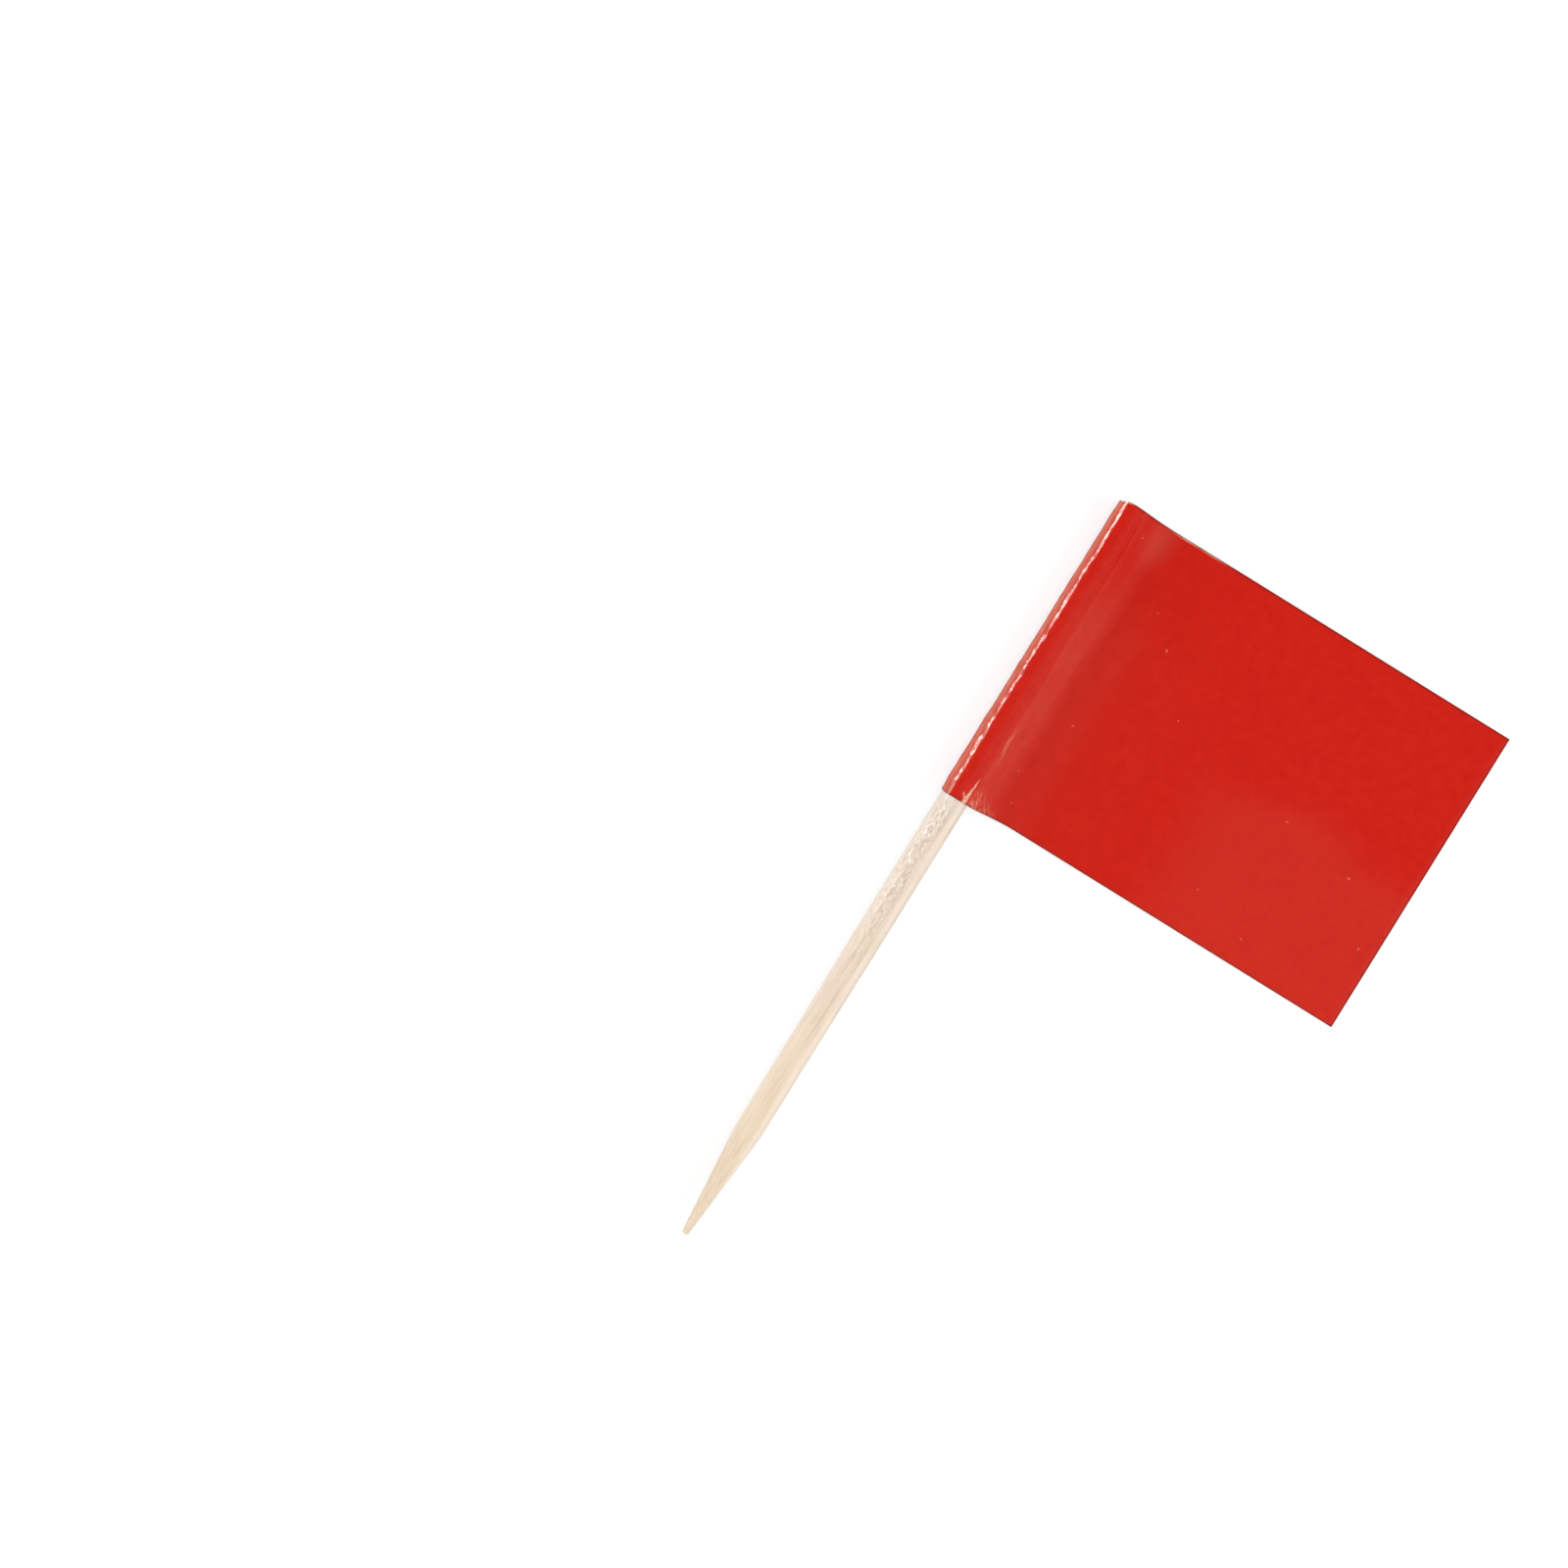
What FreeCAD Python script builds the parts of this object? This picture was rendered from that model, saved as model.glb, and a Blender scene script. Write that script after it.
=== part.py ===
"""A flag toothpick: a turned birch pick with a small red paper flag stuck round its upper end.

It lies as it comes to rest, on the flag's lower leaf. Sizes are in millimetres.
+Y runs along the pick towards the end that carries the flag and -Y towards the point.
+X runs out along the flag to its free edge, and +Z is up from the table.
The origin is at the middle of the whole thing's box, on the table.
"""

import FreeCAD, Part
import math
import os

from FreeCAD import Vector

# The wooden pick
PICK_LENGTH = 65.0
HEAD_DIAMETER = 2.2  # the upper stretch, which the flag is wrapped round
SHANK_DIAMETER = 2.1  # the lower stretch is turned a little thinner
FADE_LENGTH = 7.0  # the slow taper from the upper stretch to the lower one
SHANK_LENGTH = 9.3  # from the end of that taper to where the point begins
POINT_LENGTH = 9.2
TIP_DIAMETER = 0.5  # the point ends blunt
TIP_ROUND = 0.15
SHOULDER_RADIUS = 20.0  # the soft bends where the pick thins and where the point begins
HEAD_ROUND = 0.1

# The paper flag, one label folded round the pick and stuck to itself
FLAG_LENGTH = 35.1  # from the outside of the fold to the free edge
FLAG_HEIGHT = 26.0  # along the pick
PAPER = 0.1
GLUE_FILM = 0.02  # between the paper and the wood
HEAD_SETBACK = 0.5  # the sawn end lies this far inside the paper's upper edge
LEAVE_ANGLE = 42.0  # where the upper leaf leaves the wood, in degrees above the free side
BEND_RADIUS = 2.4  # of the upper leaf, where it comes down onto the lower one
GLUE_LINE = 0.04  # height at which glue closes the narrowing gap between the leaves

# The places that follow from these sizes, across the pick
head_radius = HEAD_DIAMETER / 2
shank_radius = SHANK_DIAMETER / 2
tip_radius = TIP_DIAMETER / 2
wrap_inside = head_radius + GLUE_FILM
wrap_outside = wrap_inside + PAPER
axis_height = wrap_outside
two_leaves = 2 * PAPER
left_edge = -wrap_outside
free_edge = left_edge + FLAG_LENGTH

# The places that follow along the pick, with the flag's upper edge at zero
flag_top = 0.0
head_end = flag_top - HEAD_SETBACK
tip_end = head_end - PICK_LENGTH
point_start = tip_end + POINT_LENGTH
fade_end = point_start + SHANK_LENGTH
fade_start = fade_end + FADE_LENGTH

# The middle of the whole thing's box, which becomes the origin
middle = Vector((left_edge + free_edge) / 2, (flag_top + tip_end) / 2, 0)


def pick():
    """The pick, turned about its own axis from one outline: sawn end, taper, shank, point."""
    corners = [
        (Vector(head_radius, head_end, 0), HEAD_ROUND),
        (Vector(head_radius, fade_start, 0), SHOULDER_RADIUS),
        (Vector(shank_radius, fade_end, 0), SHOULDER_RADIUS),
        (Vector(shank_radius, point_start, 0), SHOULDER_RADIUS),
        (Vector(tip_radius, tip_end, 0), TIP_ROUND),
    ]
    sawn_middle = Vector(0, head_end, 0)
    tip_middle = Vector(0, tip_end, 0)
    places = [sawn_middle, *(corner for corner, _ in corners), tip_middle]
    edges = []
    here = sawn_middle
    for before, (corner, radius), after in zip(places, corners, places[2:]):
        start, half_way, end = rounded(before, corner, after, radius)
        edges += [line(here, start), arc(start, half_way, end)]
        here = end
    edges += [line(here, tip_middle), line(tip_middle, sawn_middle)]
    turned = Part.Face(Part.Wire(edges)).revolve(sawn_middle, Vector(0, 1, 0), 360)
    turned.translate(Vector(0, 0, axis_height))
    return turned


def rounded(before, corner, after, radius):
    """The start, the middle and the end of the arc that rounds a corner between two lines."""
    back = (before - corner).normalize()
    ahead = (after - corner).normalize()
    half_angle = back.getAngle(ahead) / 2
    reach = radius / math.tan(half_angle)
    inwards = (back + ahead).normalize()
    to_arc = radius / math.sin(half_angle) - radius
    return corner + back * reach, corner + inwards * to_arc, corner + ahead * reach


def flag():
    """The label: its folded outline, seen along the pick, drawn out to the flag's height."""
    paper = folded_face(
        wrap_outside, two_leaves, BEND_RADIUS, 0, [(free_edge, two_leaves), (free_edge, 0)]
    )
    tunnel = folded_face(wrap_inside, PAPER, BEND_RADIUS + PAPER, GLUE_LINE, [])
    return paper.cut(tunnel).extrude(Vector(0, -FLAG_HEIGHT, 0)).Solids[0]


def folded_face(wrap, level, bend, gap, corners):
    """The area under one side of the folded paper, across the pick.

    That side starts under the wood and goes round it at the radius wrap, straight down the
    slope, and round the bend, until it is the gap above the height level. From there the
    area is closed by the corners, or by dropping to the level where there are none.
    """
    leave = math.radians(LEAVE_ANGLE)
    fall = math.pi / 2 - leave  # how steeply the slope comes down
    slope_top = point_at(wrap * math.cos(leave), axis_height + wrap * math.sin(leave))
    slope_run = (slope_top.z - level) / math.tan(fall)
    bend_centre = point_at(slope_top.x + slope_run + bend * math.tan(fall / 2), level + bend)
    stop = math.acos(1 - gap / bend)  # the last of the bend, which the glue fills
    slope_foot, half_way, bend_end = (
        bend_centre - Vector(math.sin(turn), 0, math.cos(turn)) * bend
        for turn in (fall, (fall + stop) / 2, stop)
    )
    under = point_at(0, axis_height - wrap)
    edges = [
        arc(under, point_at(-wrap, axis_height), slope_top),
        line(slope_top, slope_foot),
        arc(slope_foot, half_way, bend_end),
    ]
    rest = [point_at(x, z) for x, z in corners] or [point_at(bend_end.x, level)]
    edges += [line(a, b) for a, b in zip([bend_end, *rest], [*rest, under])]
    return Part.Face(Part.Wire(edges))


def point_at(x, z):
    """A point of the outline across the pick, at the flag's upper edge."""
    return Vector(x, flag_top, z)


def line(start, end):
    return Part.LineSegment(start, end).toShape()


def arc(start, half_way, end):
    return Part.Arc(start, half_way, end).toShape()


os.makedirs("parts", exist_ok=True)
for name, shape in {"pick": pick(), "flag": flag()}.items():
    shape.translate(middle * -1)
    shape.exportStep(f"parts/{name}.step")
    print(name, shape.ShapeType, "valid" if shape.isValid() else "faulty", round(shape.Volume, 3))
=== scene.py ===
# %% [markdown]
# # A flag toothpick
# A turned birch pick with a small red paper flag stuck round its upper end, lying on a pale
# table and seen from straight above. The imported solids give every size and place. This
# lesson puts a folded sheet of glossy label paper and a piece of grained wood around them.

# %% Load the frame
import bpy
import math
import numpy as np
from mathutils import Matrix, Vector


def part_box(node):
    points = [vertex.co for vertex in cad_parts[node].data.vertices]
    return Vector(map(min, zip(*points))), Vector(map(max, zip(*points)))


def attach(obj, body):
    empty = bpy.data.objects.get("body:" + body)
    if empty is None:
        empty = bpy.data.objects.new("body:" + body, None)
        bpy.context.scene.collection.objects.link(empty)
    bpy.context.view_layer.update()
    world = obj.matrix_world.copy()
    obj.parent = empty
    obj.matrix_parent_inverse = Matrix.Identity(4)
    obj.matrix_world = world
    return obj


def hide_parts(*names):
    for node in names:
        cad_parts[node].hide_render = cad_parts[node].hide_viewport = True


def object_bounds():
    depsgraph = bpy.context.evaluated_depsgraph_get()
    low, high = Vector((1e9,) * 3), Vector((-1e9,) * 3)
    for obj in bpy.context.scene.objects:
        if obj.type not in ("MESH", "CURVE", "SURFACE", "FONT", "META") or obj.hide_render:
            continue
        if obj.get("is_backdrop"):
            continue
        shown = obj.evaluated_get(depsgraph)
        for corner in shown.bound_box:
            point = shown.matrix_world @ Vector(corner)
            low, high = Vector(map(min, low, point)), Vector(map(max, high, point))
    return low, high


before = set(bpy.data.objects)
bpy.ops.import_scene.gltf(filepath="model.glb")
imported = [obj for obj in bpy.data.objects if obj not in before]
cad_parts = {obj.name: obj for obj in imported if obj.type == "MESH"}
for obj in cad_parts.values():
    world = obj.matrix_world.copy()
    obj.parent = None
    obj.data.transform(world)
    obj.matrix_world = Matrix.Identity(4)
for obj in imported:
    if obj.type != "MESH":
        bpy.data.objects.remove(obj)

solid_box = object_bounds()
print("nodes", sorted(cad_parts))

# %% [markdown]
# ## Where everything lies
# All sizes are read off the two solids, so that the looks can't drift away from them. The
# pick's box gives its axis and its thickness. The flag's box gives the outside of the fold,
# and what lies between that and the wood is one thickness of paper and a film of glue.
# Blender's unit is the metre, and this object is small, so a value is often written in
# millimetres times MM.

# %% Read the sizes
MM = 0.001
GLUE_FILM = 0.02 * MM

pick_low, pick_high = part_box("pick")
flag_low, flag_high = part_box("flag")
axis_x = (pick_low.x + pick_high.x) / 2
axis_z = (pick_low.z + pick_high.z) / 2
wood_radius = (pick_high.x - pick_low.x) / 2
fold_radius = axis_x - flag_low.x
paper = fold_radius - wood_radius - GLUE_FILM
flag_height = flag_high.y - flag_low.y
print(f"wood {wood_radius / MM:.2f} mm, fold {fold_radius / MM:.2f} mm, paper {paper / MM:.2f} mm")

# %% [markdown]
# ## Helpers for nodes
# Geometry Nodes and materials are both trees of nodes. One helper makes a node, sets it up,
# and either writes a value into an input or links another node's output to it. The others
# do sums, because a shape that follows a rule is mostly sums.

# %% Nodes and sums
def add(tree, kind, given=None, **settings):
    """One node. given maps an input's name or number to a value or to another node's output."""
    made = tree.nodes.new(kind)
    for name, value in settings.items():
        setattr(made, name, value)
    for place, value in (given or {}).items():
        if isinstance(value, bpy.types.NodeSocket):
            tree.links.new(value, made.inputs[place])
        else:
            made.inputs[place].default_value = value
    return made


def reckon(tree, operation, *terms):
    """The output of a Math node on numbers or outputs."""
    return add(tree, "ShaderNodeMath", dict(enumerate(terms)), operation=operation).outputs[0]


def product(tree, first, *others):
    for other in others:
        first = reckon(tree, "MULTIPLY", first, other)
    return first


def total(tree, first, *others):
    for other in others:
        first = reckon(tree, "ADD", first, other)
    return first


def combine(tree, x, y, z):
    return add(tree, "ShaderNodeCombineXYZ", {0: x, 1: y, 2: z}).outputs[0]


def split(tree, vector):
    return add(tree, "ShaderNodeSeparateXYZ", {0: vector}).outputs


# %% [markdown]
# ## Soft steps, humps and clouds
# Nothing on paper or wood starts or stops at a hard line. Three shapes are enough to say
# where something is: a step that rises softly, a hump that is strongest in its middle, and a
# cloud that comes and goes at random. Multiplied by each other they mark any place.

# %% Soft values
def soft_step(tree, value, start, end):
    """0 at start, 1 at end and soft between; it falls where end is below start."""
    given = {"Value": value, "From Min": start, "From Max": end}
    return add(tree, "ShaderNodeMapRange", given, interpolation_type="SMOOTHSTEP").outputs["Result"]


def hump(tree, value, middle, reach):
    """1 at the middle, falling softly to 0 at the reach on both sides."""
    away = reckon(tree, "ABSOLUTE", reckon(tree, "SUBTRACT", value, middle))
    return soft_step(tree, away, reach, 0.0)


def noise(tree, spot, size, detail):
    """A cloudy value from 0 to 1, with clouds of about the given size."""
    given = {"Vector": spot, "Scale": reckon(tree, "DIVIDE", 1.0, size), "Detail": detail}
    return add(tree, "ShaderNodeTexNoise", given).outputs[0]


def cloud(tree, x, y, seed, size, detail=1.0):
    """Noise over two directions; another seed gives other clouds."""
    return noise(tree, combine(tree, x, y, seed), size, detail)


def between(tree, part, first, second):
    """A colour that goes from the first to the second as part goes from 0 to 1."""
    given = {0: part, 6: first, 7: second}
    return add(tree, "ShaderNodeMix", given, data_type="RGBA").outputs[2]


# %% [markdown]
# ## Groups of nodes
# A shape tree is a node group on a modifier. Its sizes are named inputs, so that someone can
# change them later without opening the tree. A modifier stores its inputs under the sockets'
# identifiers, so the helper looks each one up by its name.

# %% Make and use a group
def new_tree(name, kind, sockets):
    """A node group with named inputs and outputs, each given as (name, way, type, value)."""
    tree = bpy.data.node_groups.new(name, kind)
    for socket_name, way, socket_type, value in sockets:
        socket = tree.interface.new_socket(socket_name, in_out=way, socket_type=socket_type)
        if value is not None:
            socket.default_value = value
    return tree


def new_shape_tree(name, sizes, others=()):
    """A Geometry Nodes tree that takes a mesh, some plain sizes and other kinds of input."""
    tree = new_tree(name, "GeometryNodeTree", [
        ("Geometry", "INPUT", "NodeSocketGeometry", None),
        *[(size, "INPUT", "NodeSocketFloat", 0.0) for size in sizes],
        *[(other, "INPUT", kind, None) for other, kind in others],
        ("Geometry", "OUTPUT", "NodeSocketGeometry", None),
    ])
    return tree, tree.nodes.new("NodeGroupInput").outputs


def use_tree(piece, tree, values):
    """Puts a tree on a piece as a modifier and writes its inputs by their identifiers."""
    modifier = piece.modifiers.new(tree.name, "NODES")
    modifier.node_group = tree
    for socket in tree.interface.items_tree:
        if socket.in_out == "INPUT" and socket.name in values:
            modifier[socket.identifier] = values[socket.name]
    print(tree.name, "has", len(tree.nodes), "nodes")


def store(tree, geometry, name, value, **settings):
    """Geometry that carries a value of its own, for a material to read."""
    given = {"Geometry": geometry, "Name": name, "Value": value}
    return add(tree, "GeometryNodeStoreNamedAttribute", given, **settings).outputs[0]


def paint(tree, geometry, material):
    """Real geometry in one material, as a piece needs it at the end of its tree."""
    whole = add(tree, "GeometryNodeRealizeInstances", {0: geometry}).outputs[0]
    given = {"Geometry": whole, "Material": material}
    return add(tree, "GeometryNodeSetMaterial", given).outputs[0]


def scaled(tree, vector, factor):
    given = {0: vector, "Scale": factor}
    return add(tree, "ShaderNodeVectorMath", given, operation="SCALE").outputs[0]


# %% [markdown]
# ## Helpers for meshes
# A sheet and a turned stick are both a table of points, joined to squares. When a piece's
# modifiers have done their work, the result is kept as its own plain mesh.

# %% Pieces and their meshes
def new_piece(name, data):
    piece = bpy.data.objects.new(name, data)
    bpy.context.scene.collection.objects.link(piece)
    return piece


def settle(piece):
    """Keeps what the modifiers make as the piece's own plain mesh."""
    bpy.context.view_layer.update()
    ready = piece.evaluated_get(bpy.context.evaluated_depsgraph_get())
    mesh = bpy.data.meshes.new_from_object(ready)
    piece.modifiers.clear()
    piece.data = mesh
    mesh.name = piece.name
    print(piece.name, "has", len(mesh.polygons), "faces")


def squares(rows, columns, closed=False):
    """The faces between rows of points; closed also joins the last column to the first."""
    number = np.arange(rows * columns).reshape(rows, columns)
    if closed:
        number = np.hstack([number, number[:, :1]])
    corners = [number[:-1, :-1], number[:-1, 1:], number[1:, 1:], number[1:, :-1]]
    return np.stack(corners, -1).reshape(-1, 4).tolist()


def spread(start, end, gap):
    """Even places from start up to, but not at, the end."""
    return np.linspace(start, end, max(1, round((end - start) / gap)), endpoint=False)


# %% [markdown]
# ## A fine unevenness for every finish
# Neither paper nor wood is perfectly even. One small group makes a cloudy value that may be
# stretched in any direction, and cuts it off softly between a low and a high. The red film
# uses it for its mottle and its worn patches, bare paper for its fibres and the wood for its
# streaks and pores, each with its own size and stretch.

# %% The shared group
def make_unevenness():
    tree = new_tree("fine_unevenness", "ShaderNodeTree", [
        ("Size", "INPUT", "NodeSocketFloat", 0.3 * MM),
        ("Stretch", "INPUT", "NodeSocketVector", (1, 1, 1)),
        ("Detail", "INPUT", "NodeSocketFloat", 2.0),
        ("Low", "INPUT", "NodeSocketFloat", 0.3),
        ("High", "INPUT", "NodeSocketFloat", 0.7),
        ("Value", "OUTPUT", "NodeSocketFloat", None),
    ])
    given = tree.nodes.new("NodeGroupInput").outputs
    place = add(tree, "ShaderNodeTexCoord").outputs["Object"]
    drawn = add(tree, "ShaderNodeVectorMath", {0: place, 1: given["Stretch"]}, operation="DIVIDE")
    clouds = noise(tree, drawn.outputs[0], given["Size"], given["Detail"])
    add(tree, "NodeGroupOutput", {"Value": soft_step(tree, clouds, given["Low"], given["High"])})
    return tree


unevenness = make_unevenness()
print("group", unevenness.name, "has", len(unevenness.nodes), "nodes")


def uneven(tree, **values):
    """The shared group in a material, with its own values."""
    given = {name.title(): value for name, value in values.items()}
    return add(tree, "ShaderNodeGroup", given, node_tree=unevenness).outputs["Value"]


# %% A material to start from
def new_material(name, constants):
    """A material with one Principled shader, whose plain values are set on its own sockets."""
    material = bpy.data.materials.new(name)
    material.use_nodes = True
    tree = material.node_tree
    tree.nodes.clear()
    shader = add(tree, "ShaderNodeBsdfPrincipled", constants)
    add(tree, "ShaderNodeOutputMaterial", {"Surface": shader.outputs[0]})
    return material, tree, shader


# %% [markdown]
# ## The red film
# The label is coated paper, printed a full red and covered by a clear glossy film. A
# Principled shader does both: a matte red base, and a clear coat that mirrors the lamps. The
# coat ripples slightly, and it is worn in patches where the paper is bent round the wood, which
# breaks up its mirror images. Along the die-cut edges the red is painted darker, a painted shade
# for the thin dark outline there. The label's own flat coordinates tell how far the bend or an
# edge is. A value that the folding leaves on the paper says where the red is painted pale: for
# painted highlights, glints and reflections, and a little where the bent film crazes.

# %% Material of the red film
EDGE_DARK = 0.08 * MM
EDGE_FADED = 0.17 * MM
RIPPLE_SIZE = 0.35 * MM
RIPPLE_DEPTH = 0.005 * MM
GLOSS = 0.6
WORN_OFF = 0.38
WORN_REACH = 1.8 * MM
DEEP_RED = (0.535, 0.0125, 0.0065, 1)
LIGHT_RED = (0.57, 0.0145, 0.0075, 1)
# The edge red is a painted shade for the thin dark outline along the cut.
EDGE_SHADE_RED = (0.14, 0.002, 0.001, 1)
# The whitish red is for painted highlights, glints and reflections, with a little film crazing.
CRAZE_AND_HIGHLIGHT_WHITE = (1.0, 0.75, 0.56, 1)


def make_red_film(length, height, bent_at):
    """The printed side of a label of this size, bent at this length along it."""
    material, tree, shader = new_material("red_film", {
        "Roughness": 0.6,
        "Specular IOR Level": 0.0,
        "Coat IOR": 1.5,
        "Coat Roughness": 0.1,
    })
    flat = split(tree, add(tree, "ShaderNodeUVMap", uv_map="label").outputs[0])
    sides = []
    for share, size in zip(flat, (length, height)):
        near = reckon(tree, "MINIMUM", share, reckon(tree, "SUBTRACT", 1.0, share))
        sides.append(product(tree, near, size))
    # Painted shade: the red darkens towards the die-cut edges, as a thin dark outline.
    edge = soft_step(tree, reckon(tree, "MINIMUM", *sides), EDGE_FADED, EDGE_DARK)
    mottle = uneven(tree, size=0.7 * MM, detail=4.0, low=0.3, high=0.7)
    red = between(tree, mottle, DEEP_RED, LIGHT_RED)
    edge_shaded = between(tree, product(tree, edge, 0.75), red, EDGE_SHADE_RED)
    # Painted light: the pale value whitens the red for painted highlights, glints and reflections,
    # and a little where the bent film crazes.
    pale = add(tree, "ShaderNodeAttribute", attribute_name="pale").outputs["Fac"]
    with_painted_light = between(tree, pale, edge_shaded, CRAZE_AND_HIGHLIGHT_WHITE)
    tree.links.new(with_painted_light, shader.inputs["Base Color"])

    bent = hump(tree, product(tree, flat[0], length), bent_at, WORN_REACH)
    dull = uneven(tree, size=0.3 * MM, stretch=(1, 2.5, 1), detail=4.0, low=0.4, high=0.6)
    gloss = reckon(tree, "SUBTRACT", GLOSS, product(tree, dull, bent, WORN_OFF))
    tree.links.new(gloss, shader.inputs["Coat Weight"])
    place = add(tree, "ShaderNodeTexCoord").outputs["Object"]
    ripple = noise(tree, place, RIPPLE_SIZE, 2.0)
    bump = add(tree, "ShaderNodeBump", {"Height": ripple, "Distance": RIPPLE_DEPTH, "Strength": 1.0})
    tree.links.new(bump.outputs[0], shader.inputs["Normal"])
    tree.links.new(bump.outputs[0], shader.inputs["Coat Normal"])
    return material


# %% [markdown]
# ## Bare paper
# The glue side of the label and its cut edge are bare fibres. They could share one flat grey,
# but the cut edge shows a little of the red coat, and both are cloudy from close by. So they
# are two finishes from one recipe.

# %% Materials of the glue side and the cut edge
def make_bare_paper(name, shade, colour, grain):
    material, tree, shader = new_material(name, {"Roughness": 0.85, "Specular IOR Level": 0.3})
    cloud_value = uneven(tree, size=grain, detail=3.0)
    tree.links.new(between(tree, cloud_value, shade, colour), shader.inputs["Base Color"])
    return material


glue_side = make_bare_paper("glue_side", (0.72, 0.68, 0.62, 1), (0.8, 0.77, 0.72, 1), 0.4 * MM)
cut_edge = make_bare_paper("cut_edge", (0.45, 0.1, 0.08, 1), (0.6, 0.3, 0.27, 1), 0.06 * MM)
print("finishes", glue_side.name, "and", cut_edge.name)

# %% [markdown]
# ## The line of the fold
# The flag is one rectangle of paper, and what one sees is how it runs: flat under the wood,
# round it, down a free slope on the upper side, through a soft bend and flat again on the
# lower leaf. It could be modelled as a finished shape, but it is truer, and easier to alter,
# to fold it. This cell finds the line that the middle of the paper follows, seen along the
# pick. A pair of tangents gives the slope, as in the solid.

# %% The paper's line, seen along the pick
LEAVE_ANGLE = math.radians(42)
BEND_RADIUS = 2.45 * MM
BEND_STEP = math.radians(2)


def arc_points(centre, radius, start, end):
    """Points of an arc, as pairs of x and z; angles are measured up from the +X side."""
    steps = max(2, round(abs(end - start) / BEND_STEP)) + 1
    turn = np.linspace(start, end, steps)
    return np.stack([centre[0] + radius * np.cos(turn), centre[1] + radius * np.sin(turn)], -1)


lower_level = paper / 2
upper_level = paper * 3 / 2
fall = math.pi / 2 - LEAVE_ANGLE
straight_down = math.radians(270)
wrap = arc_points((axis_x, axis_z), fold_radius - paper / 2, straight_down, LEAVE_ANGLE)
slope_run = (wrap[-1, 1] - upper_level) / math.tan(fall)
foot_x = wrap[-1, 0] + slope_run + BEND_RADIUS * math.tan(fall / 2)
bend_centre = (foot_x, upper_level + BEND_RADIUS)
bend = arc_points(bend_centre, BEND_RADIUS, straight_down - fall, straight_down)
leaf_start = [[flag_high.x, lower_level]]
leaf_end = [[flag_high.x, upper_level]]
section = np.concatenate([leaf_start, wrap, bend, leaf_end])

reached = np.concatenate([[0], np.cumsum(np.linalg.norm(np.diff(section, axis=0), axis=1))])
label_length = reached[-1]
wrap_start = reached[1]
slope_start = reached[len(wrap)]
bend_end = reached[-2]
print(f"the label is {label_length / MM:.1f} mm long and {flag_height / MM:.1f} mm high")

# %% The line as a curve
section_line = bpy.data.curves.new("section", "CURVE")
section_line.dimensions = "3D"
spline = section_line.splines.new("POLY")
spline.points.add(len(section) - 1)
for point, (x, z) in zip(spline.points, section):
    point.co = (x, 0, z, 1)
section_piece = new_piece("section", section_line)
print("the fold has", len(section), "points")

# %% [markdown]
# ## The flat label
# The rectangle is a grid. Its columns are close together where it will bend, and its rows
# are closest at the lower end of the sleeve, where the paper is pinched, and along its upper
# edge. Its own UV map remembers where each point was on the flat label.

# %% Cut the label
PINCH_REACH = 3.0 * MM
UPPER_EDGE = 0.24 * MM
LOWER_LEAF_GAP = 0.8 * MM
WRAP_GAP = 0.075 * MM
SLOPE_GAP = 0.08 * MM
UPPER_LEAF_GAP = 0.6 * MM
PINCH_GAP = 0.1 * MM
SLEEVE_GAP = 0.13 * MM
EDGE_GAP = 0.04 * MM

columns = np.concatenate([
    spread(0, wrap_start, LOWER_LEAF_GAP),
    spread(wrap_start, slope_start, WRAP_GAP),
    spread(slope_start, bend_end, SLOPE_GAP),
    spread(bend_end, label_length, UPPER_LEAF_GAP),
    [label_length],
])
rows = np.concatenate([
    spread(flag_low.y, flag_low.y + PINCH_REACH, PINCH_GAP),
    spread(flag_low.y + PINCH_REACH, flag_high.y - UPPER_EDGE, SLEEVE_GAP),
    spread(flag_high.y - UPPER_EDGE, flag_high.y, EDGE_GAP),
    [flag_high.y],
])
across, along = np.meshgrid(columns, rows)
flat_points = np.stack([across, along, np.zeros_like(across)], -1).reshape(-1, 3)
label = bpy.data.meshes.new("flag")
label.from_pydata(flat_points.tolist(), [], squares(len(rows), len(columns)))

uv = label.uv_layers.new(name="label")
corner = np.zeros(len(label.loops), int)
label.loops.foreach_get("vertex_index", corner)
flat_uv = np.stack([across / label_length, (along - flag_low.y) / flag_height], -1).reshape(-1, 2)
uv.data.foreach_set("uv", flat_uv[corner].astype(np.float32).ravel())
flag = new_piece("folded_label", label)
print(len(rows), "rows and", len(columns), "columns")

# %% [markdown]
# ## The reliefs of the paper
# The real sleeve is never quite smooth. It catches the light in a broken line, its free slope
# swells here and there, and fingers pinched its lower end. A bump would show that only from
# above, so the paper itself is moved. A relief is the height by which the paper stands off
# the smooth fold. It is worked out from where a point is on the label: its length along the
# label, how far that is down from the top of the slope, and how far above the lower edge.

# %% Waves and swellings
BILLOW_MIDDLE = 2.8 * MM
BILLOW_END = 6.8 * MM


def sleeve_waves(tree, given, length, above):
    """Small waves on the side of the sleeve, a little stronger low down, weak at the edge."""
    start, end = given["Wrap start"], given["Slope start"]
    on_wrap = product(
        tree,
        soft_step(tree, length, start, total(tree, start, 1.0 * MM)),
        soft_step(tree, length, total(tree, end, 0.2 * MM), total(tree, end, -1.4 * MM)),
    )
    low_down = product(tree, soft_step(tree, above, 9 * MM, 2 * MM), 0.3)
    off_edge = product(tree, soft_step(tree, above, 0.0, 1.2 * MM), 0.7)
    strength = product(tree, total(tree, low_down, 1.0), total(tree, off_edge, 0.3))
    drawn_up = product(tree, above, 0.6)
    waves = cloud(tree, length, drawn_up, given["Seed"], given["Wave length"], 4.0)
    return product(tree, waves, given["Wave height"], on_wrap, strength)


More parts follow.
